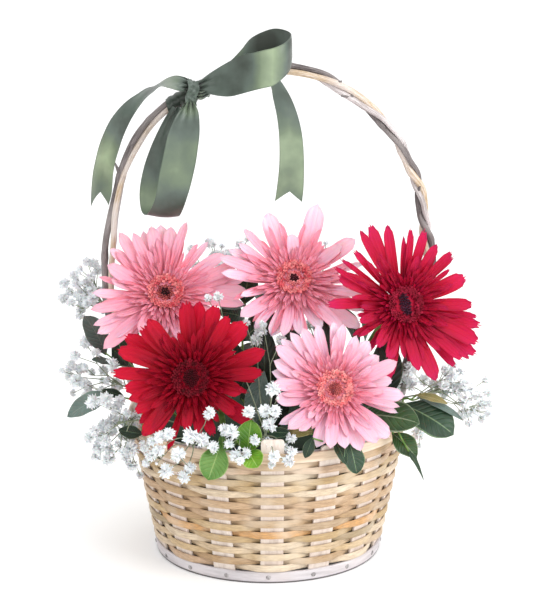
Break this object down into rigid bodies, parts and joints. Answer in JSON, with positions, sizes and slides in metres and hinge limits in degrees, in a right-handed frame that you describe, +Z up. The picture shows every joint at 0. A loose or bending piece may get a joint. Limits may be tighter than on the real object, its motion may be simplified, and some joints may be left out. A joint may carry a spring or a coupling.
{
  "type": "flower basket arrangement",
  "caption": "Round tapered wicker basket with a twisted hoop handle and satin bow, filled with gerbera daisies, baby's breath and leafy sprigs in floral foam.",
  "frame": {"origin": "centre of the underside of the basket's base disc", "axes": "+Z up, -Y towards the front of the arrangement, the hoop handle's arch in the XZ plane"},
  "size_m": [0.3178, 0.2336, 0.4063],
  "materials": {
    "stake_ply": "bare pale ply strip, smooth, faintly pink, fine grain along the strip",
    "band_ply": "bare pale ply band, matte",
    "split_cane": "split cane, satin, straw to tan, varied strip by strip",
    "willow_bark": "willow rod in its bark, grey-brown, matte",
    "willow_peeled": "peeled willow rod, tan, satin",
    "willow_blush": "peeled willow rod, pale pinkish, satin",
    "green_film": "thin dark green film, slightly creased",
    "floral_foam": "crumbly green floral foam, matte",
    "green_satin": "double-faced satin ribbon, grey-green, soft sheen",
    "pink_petal": "living petal, soft satin, pale pink to deep pink near the eye",
    "red_petal": "living petal, soft satin, deep red",
    "flower_eye": "dark flower eye, matte, rough with tiny florets",
    "flower_stem": "fresh green stem, finely hairy, satin",
    "dark_leaf": "dark green leaf, waxy, pale midrib",
    "light_leaf": "young bright green leaf, waxy",
    "white_floret": "small white papery florets on thin grey-green stems"
  },
  "bodies": {
    "root": {"base_band": "band_ply", "base_disc": "band_ply", "foam_block": "floral_foam", "gerbera_pink_centre": "pink_petal", "gerbera_pink_centre_eye": "flower_eye", "gerbera_pink_centre_stem": "flower_stem", "gerbera_pink_front": "pink_petal", "gerbera_pink_front_eye": "flower_eye", "gerbera_pink_front_stem": "flower_stem", "gerbera_pink_left": "pink_petal", "gerbera_pink_left_eye": "flower_eye", "gerbera_pink_left_stem": "flower_stem", "gerbera_red_front": "red_petal", "gerbera_red_front_eye": "flower_eye", "gerbera_red_front_stem": "flower_stem", "gerbera_red_right": "red_petal", "gerbera_red_right_eye": "flower_eye", "gerbera_red_right_stem": "flower_stem", "gypsophila_back_left": "white_floret", "gypsophila_back_right": "white_floret", "gypsophila_front": "white_floret", "gypsophila_front_middle": "white_floret", "gypsophila_left_lower": "white_floret", "gypsophila_left_middle": "white_floret", "gypsophila_left_upper": "white_floret", "gypsophila_right": "white_floret", "handle_rod_bark": "willow_bark", "handle_rod_blush": "willow_blush", "handle_rod_peeled": "willow_peeled", "leaves_back_left": "dark_leaf", "leaves_back_middle": "dark_leaf", "leaves_back_right": "dark_leaf", "leaves_front_light": "light_leaf", "leaves_front_right": "dark_leaf", "leaves_left_lower": "dark_leaf", "leaves_left_upper": "dark_leaf", "leaves_middle": "dark_leaf", "leaves_right": "dark_leaf", "leaves_right_front": "dark_leaf", "leaves_tall": "dark_leaf", "liner": "green_film", "ribbon": "green_satin", "rim_inner": "band_ply", "rim_outer": "band_ply", "stake_01": "stake_ply", "stake_02": "stake_ply", "stake_03": "stake_ply", "stake_04": "stake_ply", "stake_05": "stake_ply", "stake_06": "stake_ply", "stake_07": "stake_ply", "stake_08": "stake_ply", "stake_09": "stake_ply", "stake_10": "stake_ply", "stake_11": "stake_ply", "stake_12": "stake_ply", "stake_13": "stake_ply", "stake_14": "stake_ply", "stake_15": "stake_ply", "weave": "split_cane"}
  },
  "joints": []
}
